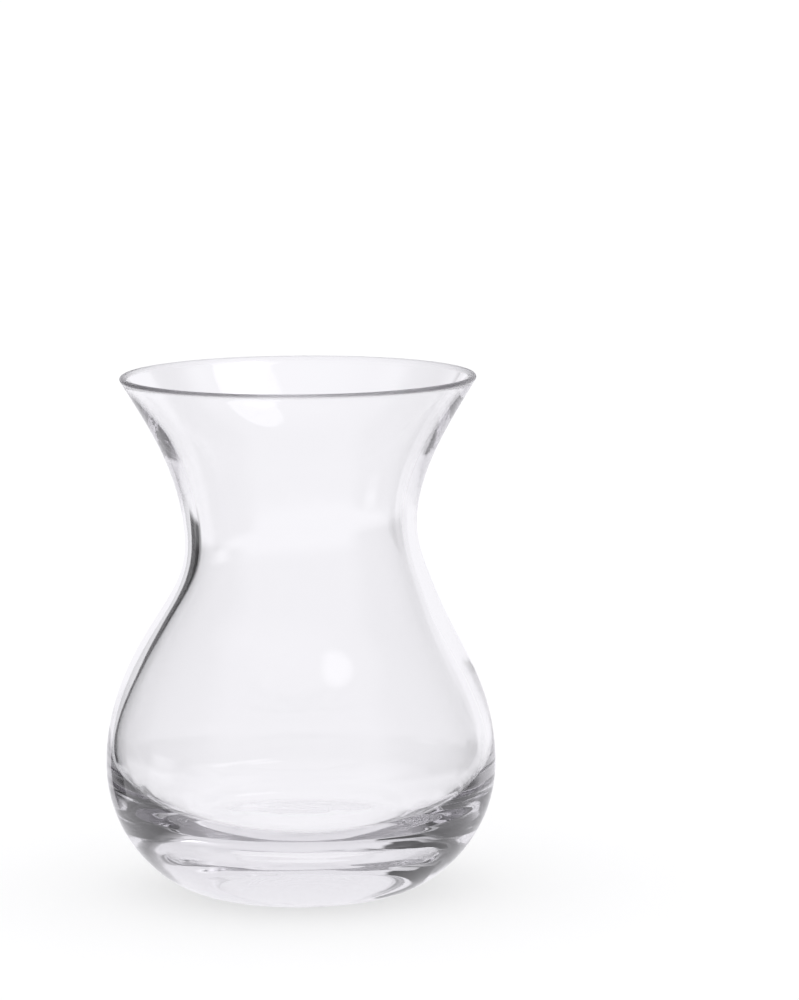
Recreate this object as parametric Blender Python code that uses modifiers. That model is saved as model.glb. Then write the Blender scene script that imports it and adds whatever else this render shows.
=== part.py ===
"""Blown glass vase: a heavy-bottomed bulb, a drawn-in neck and a flared mouth, turned about +Z.

Metres, +Z up. The origin is at the middle of the resting ring, on the surface the vase stands on.
"""
import math

import bmesh
import bpy
from mathutils import Vector
from mathutils.geometry import interpolate_bezier

# Driving dimensions of the outside, from the foot up
HEIGHT = 0.150
FOOT_RADIUS = 0.0300
FOOT_SLOPE = math.radians(12.0)
BELLY_RADIUS = 0.0566
BELLY_HEIGHT = 0.0369
NECK_RADIUS = 0.0337
NECK_HEIGHT = 0.1043
MOUTH_RADIUS = 0.0514
MOUTH_SLOPE = math.radians(59.0)

# Fullness of the outside: how far each curve runs straight on from its station
FOOT_REACH = 0.0122
BELLY_REACH_DOWN = 0.0202
BELLY_REACH_UP = 0.0312
NECK_REACH_DOWN = 0.0214
NECK_REACH_UP = 0.0178
MOUTH_REACH = 0.0130

# The glass: thin at the lip, thicker down the neck and the bulb, with a solid base
LIP_THICKNESS = 0.0017
NECK_WALL = 0.0040
BELLY_WALL = 0.0030
BASE_THICKNESS = 0.0168

# The hollow: a floor that rises a little to its middle, then a bowl that is widest above the belly
FLOOR_RADIUS = 0.0222
FLOOR_RISE = 0.0014
HOLLOW_WIDEST_HEIGHT = 0.0403
FLOOR_REACH = 0.0062
HOLLOW_REACH_DOWN = 0.0222
HOLLOW_REACH_UP = 0.0220

# The underside: a flat resting ring around a shallow hollow
PUNT_RADIUS = 0.0242
PUNT_DEPTH = 0.0020
PUNT_REACH = 0.0130

# Fineness of the turned surface
SEGMENTS = 64
STEPS_LONG = 10
STEPS_SHORT = 7
STEPS_LIP = 6
STEPS_PUNT = 4
MERGE_DISTANCE = 0.00005

UP = Vector((0.0, 1.0))
OUT = Vector((1.0, 0.0))


def point(radius, height):
    """A point of the profile."""
    return Vector((radius, height))


def curve(start, start_reach, end, end_reach, steps):
    """Points of one smooth stretch; each reach is the handle that leaves its end."""
    points = interpolate_bezier(start, start + start_reach, end + end_reach, end, steps + 1)
    return [point(place.x, place.y) for place in points]


def arc(centre, radius, start_angle, end_angle, steps):
    """Points of a round stretch, both ends included."""
    angles = [start_angle + (end_angle - start_angle) * step / steps for step in range(steps + 1)]
    return [centre + radius * point(math.cos(angle), math.sin(angle)) for angle in angles]


def joined(*stretches):
    """One outline from stretches that meet end to end, each meeting point kept once."""
    outline = list(stretches[0])
    for stretch in stretches[1:]:
        outline.extend(stretch[1:])
    return outline


def vase_outline():
    """The half section, from the hollow's floor up the inside, over the lip and down the outside."""
    lip_radius = LIP_THICKNESS / 2.0
    lip_centre = point(MOUTH_RADIUS - lip_radius, HEIGHT - lip_radius)
    along_wall = point(math.cos(MOUTH_SLOPE), math.sin(MOUTH_SLOPE))
    across_wall = point(math.sin(MOUTH_SLOPE), -math.cos(MOUTH_SLOPE))
    lip_inner = lip_centre - lip_radius * across_wall
    lip_outer = lip_centre + lip_radius * across_wall
    across_angle = MOUTH_SLOPE - math.pi / 2.0

    floor_middle = point(0.0, BASE_THICKNESS + FLOOR_RISE)
    floor_edge = point(FLOOR_RADIUS, BASE_THICKNESS)
    floor_ease = OUT * (FLOOR_RADIUS / 2.0)
    hollow_widest = point(BELLY_RADIUS - BELLY_WALL, HOLLOW_WIDEST_HEIGHT)
    neck_inner = point(NECK_RADIUS - NECK_WALL, NECK_HEIGHT)
    neck = point(NECK_RADIUS, NECK_HEIGHT)
    belly = point(BELLY_RADIUS, BELLY_HEIGHT)
    foot = point(FOOT_RADIUS, 0.0)
    foot_direction = point(math.cos(FOOT_SLOPE), math.sin(FOOT_SLOPE))
    punt_edge = point(PUNT_RADIUS, 0.0)
    punt_top = point(0.0, PUNT_DEPTH)

    inside = joined(
        curve(floor_middle, floor_ease, floor_edge, -floor_ease, STEPS_PUNT),
        curve(floor_edge, OUT * FLOOR_REACH, hollow_widest, -UP * HOLLOW_REACH_DOWN, STEPS_LONG),
        curve(hollow_widest, UP * HOLLOW_REACH_UP, neck_inner, -UP * NECK_REACH_DOWN, STEPS_LONG),
        curve(neck_inner, UP * NECK_REACH_UP, lip_inner, -along_wall * MOUTH_REACH, STEPS_SHORT),
    )
    lip = arc(lip_centre, lip_radius, across_angle + math.pi, across_angle, STEPS_LIP)
    outside = joined(
        curve(lip_outer, -along_wall * MOUTH_REACH, neck, UP * NECK_REACH_UP, STEPS_SHORT),
        curve(neck, -UP * NECK_REACH_DOWN, belly, UP * BELLY_REACH_UP, STEPS_LONG),
        curve(belly, -UP * BELLY_REACH_DOWN, foot, foot_direction * FOOT_REACH, STEPS_LONG),
    )
    underside = joined(
        [foot, punt_edge],
        curve(punt_edge, -OUT * PUNT_REACH + UP * PUNT_DEPTH, punt_top, OUT * PUNT_REACH, STEPS_PUNT),
    )
    return joined(inside, lip, outside, underside)


def profile_mesh(name, outline):
    """A chain of edges in the XZ plane through the outline's points."""
    mesh = bpy.data.meshes.new(name)
    chain = bmesh.new()
    verts = [chain.verts.new((place.x, 0.0, place.y)) for place in outline]
    for lower, upper in zip(verts, verts[1:]):
        chain.edges.new((lower, upper))
    chain.to_mesh(mesh)
    chain.free()
    return mesh


def clear_glass():
    """Clear, faintly cool glass with a fire-polished surface."""
    material = bpy.data.materials.new("clear_glass")
    material.use_nodes = True
    surface = material.node_tree.nodes["Principled BSDF"]
    surface.inputs["Base Color"].default_value = (0.93, 0.93, 0.96, 1.0)
    surface.inputs["Metallic"].default_value = 0.0
    surface.inputs["Roughness"].default_value = 0.02
    surface.inputs["IOR"].default_value = 1.52
    surface.inputs["Transmission Weight"].default_value = 1.0
    return material


def glass_vase():
    """The vase: one piece of blown glass, its half section turned once about +Z."""
    vase = bpy.data.objects.new("glass_vase", profile_mesh("glass_vase", vase_outline()))
    vase.data.materials.append(clear_glass())
    turn = vase.modifiers.new("turn", "SCREW")
    turn.axis = "Z"
    turn.angle = 2.0 * math.pi
    turn.steps = SEGMENTS
    turn.render_steps = SEGMENTS
    turn.use_merge_vertices = True
    turn.merge_threshold = MERGE_DISTANCE
    turn.use_smooth_shade = True
    return vase


def main():
    for leftover in list(bpy.data.objects):
        bpy.data.objects.remove(leftover, do_unlink=True)
    vase_parts = bpy.data.collections.new("glass_bud_vase")
    bpy.context.scene.collection.children.link(vase_parts)
    vase_parts.objects.link(glass_vase())


main()
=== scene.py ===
"""A clear blown glass vase on a pale floor, in soft studio light. Metres, +Z up, the front towards -Y."""
import math

import bmesh
import bpy
from mathutils import Euler, Matrix, Vector, noise
from mathutils.geometry import interpolate_bezier


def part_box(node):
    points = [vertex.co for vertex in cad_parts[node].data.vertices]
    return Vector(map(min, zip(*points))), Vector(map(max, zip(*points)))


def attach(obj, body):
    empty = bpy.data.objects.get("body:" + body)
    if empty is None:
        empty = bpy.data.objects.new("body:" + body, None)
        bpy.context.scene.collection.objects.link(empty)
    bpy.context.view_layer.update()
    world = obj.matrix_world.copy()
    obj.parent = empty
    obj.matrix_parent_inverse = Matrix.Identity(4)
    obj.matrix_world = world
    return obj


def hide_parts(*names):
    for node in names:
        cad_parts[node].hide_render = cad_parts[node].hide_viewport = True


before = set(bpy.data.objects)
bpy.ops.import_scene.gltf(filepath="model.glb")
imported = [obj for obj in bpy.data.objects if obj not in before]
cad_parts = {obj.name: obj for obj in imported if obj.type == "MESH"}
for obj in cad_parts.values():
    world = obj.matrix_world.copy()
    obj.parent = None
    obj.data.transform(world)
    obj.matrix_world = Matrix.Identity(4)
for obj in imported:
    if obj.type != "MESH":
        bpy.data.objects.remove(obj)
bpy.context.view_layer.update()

# The outside, from the foot up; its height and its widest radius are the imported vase's own
VASE_LOW, VASE_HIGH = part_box("glass_vase")
HEIGHT = VASE_HIGH.z - VASE_LOW.z
FOOT_RADIUS = 0.0300
FOOT_SLOPE = math.radians(12.0)
BELLY_RADIUS = (VASE_HIGH.x - VASE_LOW.x) / 2.0
BELLY_HEIGHT = 0.0369
NECK_RADIUS = 0.0337
NECK_HEIGHT = 0.1043
MOUTH_RADIUS = 0.0514
MOUTH_SLOPE = math.radians(59.0)
FOOT_REACH = 0.0122
BELLY_REACH_DOWN = 0.0202
BELLY_REACH_UP = 0.0312
NECK_REACH_DOWN = 0.0214
NECK_REACH_UP = 0.0178
MOUTH_REACH = 0.0130

# The glass and its hollow
LIP_THICKNESS = 0.0017
NECK_WALL = 0.0040
BELLY_WALL = 0.0030
BASE_THICKNESS = 0.0168
FLOOR_RISE = 0.0014
FLOOR_RADIUS = 0.0222
HOLLOW_WIDEST_HEIGHT = 0.0403
FLOOR_REACH = 0.0062
HOLLOW_REACH_DOWN = 0.0222
HOLLOW_REACH_UP = 0.0220

# The underside
PUNT_RADIUS = 0.0242
PUNT_DEPTH = 0.0020
PUNT_REACH = 0.0130

# Fineness of the turned surface
SEGMENTS = 224
STEPS_FLOOR = 14
STEPS_BOWL = 36
STEPS_BULB = 32
STEPS_FLARE = 24
STEPS_LIP = 14
STEPS_PUNT = 16

# What the hand left in the glass. The neck stands a little to one side
LEAN = 0.0014
LEAN_HEIGHT = 0.092
LEAN_REACH = 0.0127

# The walls wander in and out
WANDER = 0.00012
WANDER_SCALE = 32.0

# Fine cords run round the bottom of the hollow and under the foot: how deep they are, where
# they end up the wall, and how fast they change along the section and round the axis
CORDS = 0.00020
UNDER_CORDS = 0.00008
CORDS_HIGH = 0.030
CORDS_FADE = 0.004
CORDS_ALONG = 260.0
CORDS_ROUND = 1.6

# All of it but the lean fades out within this distance of the axis
CENTRE_FADE = 0.008

UP = Vector((0.0, 1.0))
OUT = Vector((1.0, 0.0))


def point(radius, height):
    """A point of the profile."""
    return Vector((radius, height))


def curve(start, start_reach, end, end_reach, steps):
    """Points of one smooth stretch; each reach is the handle that leaves its end."""
    points = interpolate_bezier(start, start + start_reach, end + end_reach, end, steps + 1)
    return [point(place.x, place.y) for place in points]


def arc(centre, radius, start_angle, end_angle, steps):
    """Points of a round stretch, both ends included."""
    angles = [start_angle + (end_angle - start_angle) * step / steps for step in range(steps + 1)]
    return [centre + radius * point(math.cos(angle), math.sin(angle)) for angle in angles]


def joined(*stretches):
    """One outline from stretches that meet end to end, each meeting point kept once."""
    outline = list(stretches[0])
    for stretch in stretches[1:]:
        outline.extend(stretch[1:])
    return outline


def vase_outline():
    """The half section as two stretches: the inside up to the lip, and the rest down to the punt."""
    lip_radius = LIP_THICKNESS / 2.0
    lip_centre = point(MOUTH_RADIUS - lip_radius, HEIGHT - lip_radius)
    along_wall = point(math.cos(MOUTH_SLOPE), math.sin(MOUTH_SLOPE))
    across_wall = point(math.sin(MOUTH_SLOPE), -math.cos(MOUTH_SLOPE))
    lip_inner = lip_centre - lip_radius * across_wall
    lip_outer = lip_centre + lip_radius * across_wall
    across_angle = MOUTH_SLOPE - math.pi / 2.0

    floor_middle = point(0.0, BASE_THICKNESS + FLOOR_RISE)
    floor_edge = point(FLOOR_RADIUS, BASE_THICKNESS)
    floor_ease = OUT * (FLOOR_RADIUS / 2.0)
    hollow_widest = point(BELLY_RADIUS - BELLY_WALL, HOLLOW_WIDEST_HEIGHT)
    neck_inner = point(NECK_RADIUS - NECK_WALL, NECK_HEIGHT)
    neck = point(NECK_RADIUS, NECK_HEIGHT)
    belly = point(BELLY_RADIUS, BELLY_HEIGHT)
    foot = point(FOOT_RADIUS, 0.0)
    foot_direction = point(math.cos(FOOT_SLOPE), math.sin(FOOT_SLOPE))
    punt_edge = point(PUNT_RADIUS, 0.0)
    punt_top = point(0.0, PUNT_DEPTH)

    inside = joined(
        curve(floor_middle, floor_ease, floor_edge, -floor_ease, STEPS_FLOOR),
        curve(floor_edge, OUT * FLOOR_REACH, hollow_widest, -UP * HOLLOW_REACH_DOWN, STEPS_BOWL),
        curve(hollow_widest, UP * HOLLOW_REACH_UP, neck_inner, -UP * NECK_REACH_DOWN, STEPS_BULB),
        curve(neck_inner, UP * NECK_REACH_UP, lip_inner, -along_wall * MOUTH_REACH, STEPS_FLARE),
    )
    lip = arc(lip_centre, lip_radius, across_angle + math.pi, across_angle, STEPS_LIP)
    outside = joined(
        curve(lip_outer, -along_wall * MOUTH_REACH, neck, UP * NECK_REACH_UP, STEPS_FLARE),
        curve(neck, -UP * NECK_REACH_DOWN, belly, UP * BELLY_REACH_UP, STEPS_BULB),
        curve(belly, -UP * BELLY_REACH_DOWN, foot, foot_direction * FOOT_REACH, STEPS_BULB),
    )
    underside = joined(
        [foot, (foot + punt_edge) / 2.0, punt_edge],
        curve(punt_edge, -OUT * PUNT_REACH + UP * PUNT_DEPTH, punt_top, OUT * PUNT_REACH, STEPS_PUNT),
    )
    return inside, joined(lip, outside, underside)


def eased(value, low, high):
    """0 at low and 1 at high, smooth between."""
    share = min(max((value - low) / (high - low), 0.0), 1.0)
    return share * share * (3.0 - 2.0 * share)


def lean(height):
    """How far the axis of the glass stands towards +X at one height."""
    return LEAN * math.exp(-(((height - LEAN_HEIGHT) / LEAN_REACH) ** 2))


def cord_depth(place, on_inside):
    """How deep the fine cords are at one place of the outline."""
    if on_inside:
        return CORDS * eased(place.y, CORDS_HIGH + CORDS_FADE, CORDS_HIGH)
    if place.x < FOOT_RADIUS:
        return UNDER_CORDS
    return 0.0


def turned(name, inside, rest, segments):
    """The vase's closed mesh: its outline turned about +Z, uneven as blown glass is."""
    outline = joined(inside, rest)
    last_inside = len(inside) - 1
    work = bmesh.new()
    first = work.verts.new((0.0, 0.0, outline[0].y))
    last = work.verts.new((0.0, 0.0, outline[-1].y))
    rings = []
    travelled = 0.0
    for index in range(1, len(outline) - 1):
        place = outline[index]
        travelled += (place - outline[index - 1]).length
        along = (outline[index + 1] - outline[index - 1]).normalized()
        outward = point(-along.y, along.x)
        cords = cord_depth(place, index < last_inside)
        centre_fade = eased(place.x, 0.0, CENTRE_FADE)
        ring = []
        for segment in range(segments):
            angle = 2.0 * math.pi * segment / segments
            facing = Vector((math.cos(angle), math.sin(angle), 0.0))
            spot = facing * place.x + Vector((0.0, 0.0, place.y))
            round_spot = facing * CORDS_ROUND + Vector((0.0, 0.0, travelled * CORDS_ALONG))
            push = WANDER * noise.noise(spot * WANDER_SCALE) + cords * noise.noise(round_spot)
            pushed = place + outward * (push * centre_fade)
            height = max(pushed.y, 0.0)
            corner = facing * pushed.x + Vector((lean(place.y), 0.0, height))
            ring.append(work.verts.new(corner))
        rings.append(ring)
    for segment in range(segments):
        after = (segment + 1) % segments
        work.faces.new((first, rings[0][segment], rings[0][after]))
        for lower, upper in zip(rings, rings[1:]):
            work.faces.new((lower[segment], upper[segment], upper[after], lower[after]))
        work.faces.new((rings[-1][segment], last, rings[-1][after]))
    bmesh.ops.recalc_face_normals(work, faces=work.faces)
    mesh = bpy.data.meshes.new(name)
    work.to_mesh(mesh)
    work.free()
    mesh.shade_smooth()
    return mesh


def node(tree, kind, **settings):
    """A new node with its settings made."""
    made = tree.nodes.new(kind)
    for name, value in settings.items():
        setattr(made, name, value)
    return made


def feed(tree, value, socket):
    """Puts a number or another node's output into a socket."""
    if isinstance(value, (int, float)):
        socket.default_value = value
    else:
        tree.links.new(value, socket)


def calculated(tree, operation, *inputs):
    """The output of one sum on numbers or outputs."""
    made = node(tree, "ShaderNodeMath", operation=operation)
    for value, socket in zip(inputs, made.inputs):
        feed(tree, value, socket)
    return made.outputs["Value"]


def ramp(tree, value, low, high):
    """An output that is 0 at low and 1 at high, smooth between."""
    made = node(tree, "ShaderNodeMapRange", interpolation_type="SMOOTHSTEP")
    feed(tree, value, made.inputs["Value"])
    made.inputs["From Min"].default_value = low
    made.inputs["From Max"].default_value = high
    return made.outputs["Result"]


def dot(tree, vector, axis):
    """The output of a vector's dot product with a fixed axis."""
    made = node(tree, "ShaderNodeVectorMath", operation="DOT_PRODUCT")
    tree.links.new(vector, made.inputs[0])
    made.inputs[1].default_value = axis
    return made.outputs["Value"]


def speckle(tree, place, scale, detail):
    """An output that wanders between 0 and 1 over the surface."""
    made = node(tree, "ShaderNodeTexNoise")
    tree.links.new(place, made.inputs["Vector"])
    made.inputs["Scale"].default_value = scale
    made.inputs["Detail"].default_value = detail
    return made.outputs["Fac"]


WHITE = (1.0, 1.0, 1.0, 1.0)

# The glass itself
GLASS_IOR = 1.52
GLASS_TINT = (0.885, 0.88, 0.89, 1.0)
GLASS_DENSITY = 15.0

# Its finish: scratches on the resting ring, a dull lip, faint smears and a fine unevenness all
# over. A range says where in the noise a mark starts and where it is full
RING_WEAR = 0.30
RING_WEAR_TOP = 0.0005
SCRATCH_SCALE = 900.0
SCRATCH_DETAIL = 4.0
SCRATCH_RANGE = (0.35, 0.70)
LIP_DULL = 0.32
LIP_DULL_DEPTH = LIP_THICKNESS
SMEARS = 0.012
SMEAR_SCALE = 45.0
SMEAR_DETAIL = 3.0
SMEAR_RANGE = (0.55, 0.80)
PEEL_SCALE = 110.0
PEEL_DETAIL = 2.0
PEEL_STRENGTH = 0.5
PEEL_DISTANCE = 0.00002


def clear_glass():
    """Clear glass: polished, faintly smeared, dulled at the lip and scuffed on its resting ring."""
    material = bpy.data.materials.new("clear_glass")
    material.use_nodes = True
    tree = material.node_tree
    surface = tree.nodes["Principled BSDF"]
    surface.inputs["Base Color"].default_value = WHITE
    surface.inputs["IOR"].default_value = GLASS_IOR
    surface.inputs["Transmission Weight"].default_value = 1.0
    place = node(tree, "ShaderNodeTexCoord").outputs["Object"]
    split = node(tree, "ShaderNodeSeparateXYZ")
    tree.links.new(place, split.inputs["Vector"])
    height = split.outputs["Z"]
    on_ring = ramp(tree, height, RING_WEAR_TOP, 0.0)
    scratches = ramp(tree, speckle(tree, place, SCRATCH_SCALE, SCRATCH_DETAIL), *SCRATCH_RANGE)
    wear = calculated(tree, "MULTIPLY", on_ring, scratches)
    smears = ramp(tree, speckle(tree, place, SMEAR_SCALE, SMEAR_DETAIL), *SMEAR_RANGE)
    smeared = calculated(tree, "MULTIPLY", smears, SMEARS)
    worn = calculated(tree, "MULTIPLY_ADD", wear, RING_WEAR, smeared)
    at_lip = ramp(tree, height, HEIGHT - LIP_DULL_DEPTH, HEIGHT - LIP_DULL_DEPTH / 2.0)
    dulled = calculated(tree, "MULTIPLY_ADD", at_lip, LIP_DULL, worn)
    tree.links.new(dulled, surface.inputs["Roughness"])
    peel = node(tree, "ShaderNodeBump")
    peel.inputs["Strength"].default_value = PEEL_STRENGTH
    peel.inputs["Distance"].default_value = PEEL_DISTANCE
    tree.links.new(speckle(tree, place, PEEL_SCALE, PEEL_DETAIL), peel.inputs["Height"])
    tree.links.new(peel.outputs["Normal"], surface.inputs["Normal"])
    absorb = node(tree, "ShaderNodeVolumeAbsorption")
    absorb.inputs["Color"].default_value = GLASS_TINT
    absorb.inputs["Density"].default_value = GLASS_DENSITY
    tree.links.new(absorb.outputs["Volume"], tree.nodes["Material Output"].inputs["Volume"])
    return material


def glass_vase():
    """The vase: one piece of blown glass."""
    inside, rest = vase_outline()
    vase = bpy.data.objects.new("vase_glass", turned("vase_glass", inside, rest, SEGMENTS))
    bpy.context.scene.collection.objects.link(vase)
    vase.data.materials.append(clear_glass())
    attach(vase, "root")
    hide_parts("glass_vase")


# The camera: 1.4 m in front of the vase and a little above it
CAMERA_PLACE = (0.0, -1.4, 0.3053)
CAMERA_LENS = 176.0
CAMERA_PITCH = math.radians(7.81)
CAMERA_YAW = math.radians(1.19)
CAMERA_ROLL = math.radians(-0.35)


def add_camera():
    """The camera, aimed down at the vase."""
    camera = bpy.data.objects.new("camera", bpy.data.cameras.new("camera"))
    bpy.context.scene.collection.objects.link(camera)
    bpy.context.scene.camera = camera
    camera.data.lens = CAMERA_LENS
    camera.location = CAMERA_PLACE
    aim = Euler((math.pi / 2.0 - CAMERA_PITCH, 0.0, -CAMERA_YAW)).to_matrix()
    camera.rotation_mode = "QUATERNION"
    camera.rotation_quaternion = (aim @ Matrix.Rotation(CAMERA_ROLL, 3, "Z")).to_quaternion()


# The floor: its glow and the light that falls on it add up to near white, and shadows stay faint
FLOOR_SIZE = 40.0
FLOOR_COLOUR = (0.28, 0.28, 0.285, 1.0)
FLOOR_ROUGHNESS = 0.9
FLOOR_GLOW = 0.66


def add_floor():
    """The pale floor. The glass bends and mirrors the light tent, not the floor."""
    bpy.ops.mesh.primitive_plane_add(size=FLOOR_SIZE)
    floor = bpy.context.object
    floor.name = "floor"
    floor.visible_transmission = False
    floor.visible_glossy = False
    material = bpy.data.materials.new("paper")
    material.use_nodes = True
    surface = material.node_tree.nodes["Principled BSDF"]
    surface.inputs["Base Color"].default_value = FLOOR_COLOUR
    surface.inputs["Roughness"].default_value = FLOOR_ROUGHNESS
    surface.inputs["Specular IOR Level"].default_value = 0.0
    surface.inputs["Emission Color"].default_value = WHITE
    surface.inputs["Emission Strength"].default_value = FLOOR_GLOW
    floor.data.materials.append(material)


# The light tent round the vase. Its angles are in degrees, and azimuth runs from the front, -Y,
# towards +X
TENT_RADIUS = 6.0
TENT_SEGMENTS = 48
TENT_RINGS = 24
TENT_COLOUR = (0.953, 0.944, 0.98, 1.0)

# The level of its cloth by elevation
TENT_LEVELS = (
    (-90.0, 0.95),
    (-30.0, 0.97),
    (-12.0, 0.97),
    (0.0, 0.93),
    (12.0, 0.88),
    (24.0, 0.84),
    (36.0, 0.84),
    (46.0, 0.88),
    (56.0, 0.95),
    (66.0, 1.00),
    (90.0, 1.00),
)

# The panels laid over it in turn, light and dark: azimuth, elevation, half width, half height,
# softness across, softness up, level
TENT_PANELS = {
    "front": (0.0, 24.0, 80.0, 26.0, 16.0, 10.0, 0.46),
    "left_dark": (-100.0, 15.0, 36.0, 25.0, 14.0, 4.0, 0.08),
    "right_dark": (93.0, 11.0, 36.0, 28.0, 14.0, 4.0, 0.07),
    "side_window": (-90.0, -3.5, 9.0, 5.0, 5.0, 2.0, 0.95),
    "backdrop": (171.0, 0.0, 40.0, 80.0, 2.0, 4.0, 1.0),
    "left_flag": (-141.0, -1.0, 11.0, 17.0, 1.5, 2.0, 0.04),
}

# The lamp, an ellipse: azimuth, elevation, half width, half height, softness of its edge, level
TENT_LAMP = (52.0, 52.0, 36.0, 6.5, 0.20, 2.5)


def away_from(tree, towards, elevation, azimuth, height):
    """How far a direction is from a place on the tent, aside and up or down, in radians."""
    angle = math.radians(azimuth)
    ahead = dot(tree, towards, (math.sin(angle), -math.cos(angle), 0.0))
    across = dot(tree, towards, (math.cos(angle), math.sin(angle), 0.0))
    aside = calculated(tree, "ABSOLUTE", calculated(tree, "ARCTAN2", across, ahead))
    above = calculated(tree, "ABSOLUTE", calculated(tree, "SUBTRACT", elevation, math.radians(height)))
    return aside, above


def laid_over(tree, level, share, new_level):
    """The level with a share of a new one laid over it."""
    blend = node(tree, "ShaderNodeMix", data_type="FLOAT")
    tree.links.new(share, blend.inputs["Factor"])
    tree.links.new(level, blend.inputs["A"])
    blend.inputs["B"].default_value = new_level
    return blend.outputs["Result"]


def tent_panel(tree, towards, elevation, panel, level):
    """The level on the tent with one soft-edged panel laid over it."""
    azimuth, height, half_width, half_height, softness, softness_up, panel_level = panel
    aside, above = away_from(tree, towards, elevation, azimuth, height)
    outer_width = math.radians(half_width + softness)
    inner_width = math.radians(half_width - softness)
    outer_height = math.radians(half_height + softness_up)
    inner_height = math.radians(half_height - softness_up)
    wide = ramp(tree, aside, outer_width, inner_width)
    tall = ramp(tree, above, outer_height, inner_height)
    return laid_over(tree, level, calculated(tree, "MULTIPLY", wide, tall), panel_level)


def tent_lamp(tree, towards, elevation, lamp, level):
    """The level on the tent with the soft-edged ellipse of the lamp laid over it."""
    azimuth, height, half_width, half_height, softness, lamp_level = lamp
    aside, above = away_from(tree, towards, elevation, azimuth, height)
    across = calculated(tree, "DIVIDE", aside, math.radians(half_width))
    up = calculated(tree, "DIVIDE", above, math.radians(half_height))
    across_squared = calculated(tree, "POWER", across, 2.0)
    up_squared = calculated(tree, "POWER", up, 2.0)
    outwards = calculated(tree, "ADD", across_squared, up_squared)
    return laid_over(tree, level, ramp(tree, outwards, 1.0 + softness, 1.0 - softness), lamp_level)


def tent_light():
    """The glowing cloth of the tent."""
    material = bpy.data.materials.new("tent_light")
    material.use_nodes = True
    tree = material.node_tree
    tree.nodes.clear()
    place = node(tree, "ShaderNodeTexCoord")
    unit = node(tree, "ShaderNodeVectorMath", operation="NORMALIZE")
    tree.links.new(place.outputs["Object"], unit.inputs[0])
    towards = unit.outputs["Vector"]
    elevation = calculated(tree, "ARCSINE", dot(tree, towards, (0.0, 0.0, 1.0)))
    share = calculated(tree, "MULTIPLY_ADD", elevation, 1.0 / math.pi, 0.5)
    profile = node(tree, "ShaderNodeValToRGB")
    profile.color_ramp.interpolation = "EASE"
    tree.links.new(share, profile.inputs["Fac"])
    elements = profile.color_ramp.elements
    while len(elements) < len(TENT_LEVELS):
        elements.new(0.5)
    for element, (angle, glow) in zip(elements, TENT_LEVELS):
        element.position = (angle + 90.0) / 180.0
        element.color = (glow, glow, glow, 1.0)
    level = profile.outputs["Color"]
    for panel in TENT_PANELS.values():
        level = tent_panel(tree, towards, elevation, panel, level)
    level = tent_lamp(tree, towards, elevation, TENT_LAMP, level)
    light = node(tree, "ShaderNodeEmission")
    light.inputs["Color"].default_value = TENT_COLOUR
    tree.links.new(level, light.inputs["Strength"])
    output = node(tree, "ShaderNodeOutputMaterial")
    tree.links.new(light.outputs["Emission"], output.inputs["Surface"])
    return material


def add_tent():
    """The light tent: the glass shows it, the camera and the floor don't."""
    bpy.ops.mesh.primitive_uv_sphere_add(
        segments=TENT_SEGMENTS, ring_count=TENT_RINGS, radius=TENT_RADIUS
    )
    tent = bpy.context.object
    tent.name = "light_tent"
    tent.location = (0.0, 0.0, HEIGHT / 2.0)
    tent.visible_camera = False
    tent.visible_diffuse = False
    tent.visible_shadow = False
    tent.visible_volume_scatter = False
    tent.data.materials.append(tent_light())


# The white studio round it, and how far light is followed through the glass
STUDIO_LEVEL = 1.35
GLASS_BOUNCES = 128


def set_studio():
    """A plain white surround, its tones shown as they are."""
    scene = bpy.context.scene
    scene.world = bpy.data.worlds.new("studio")
    scene.world.use_nodes = True
    surround = scene.world.node_tree.nodes["Background"]
    surround.inputs["Color"].default_value = WHITE
    surround.inputs["Strength"].default_value = STUDIO_LEVEL
    scene.view_settings.view_transform = "Standard"
    scene.cycles.max_bounces = GLASS_BOUNCES
    scene.cycles.transmission_bounces = GLASS_BOUNCES
    scene.cycles.glossy_bounces = GLASS_BOUNCES


glass_vase()
add_camera()
add_floor()
add_tent()
set_studio()
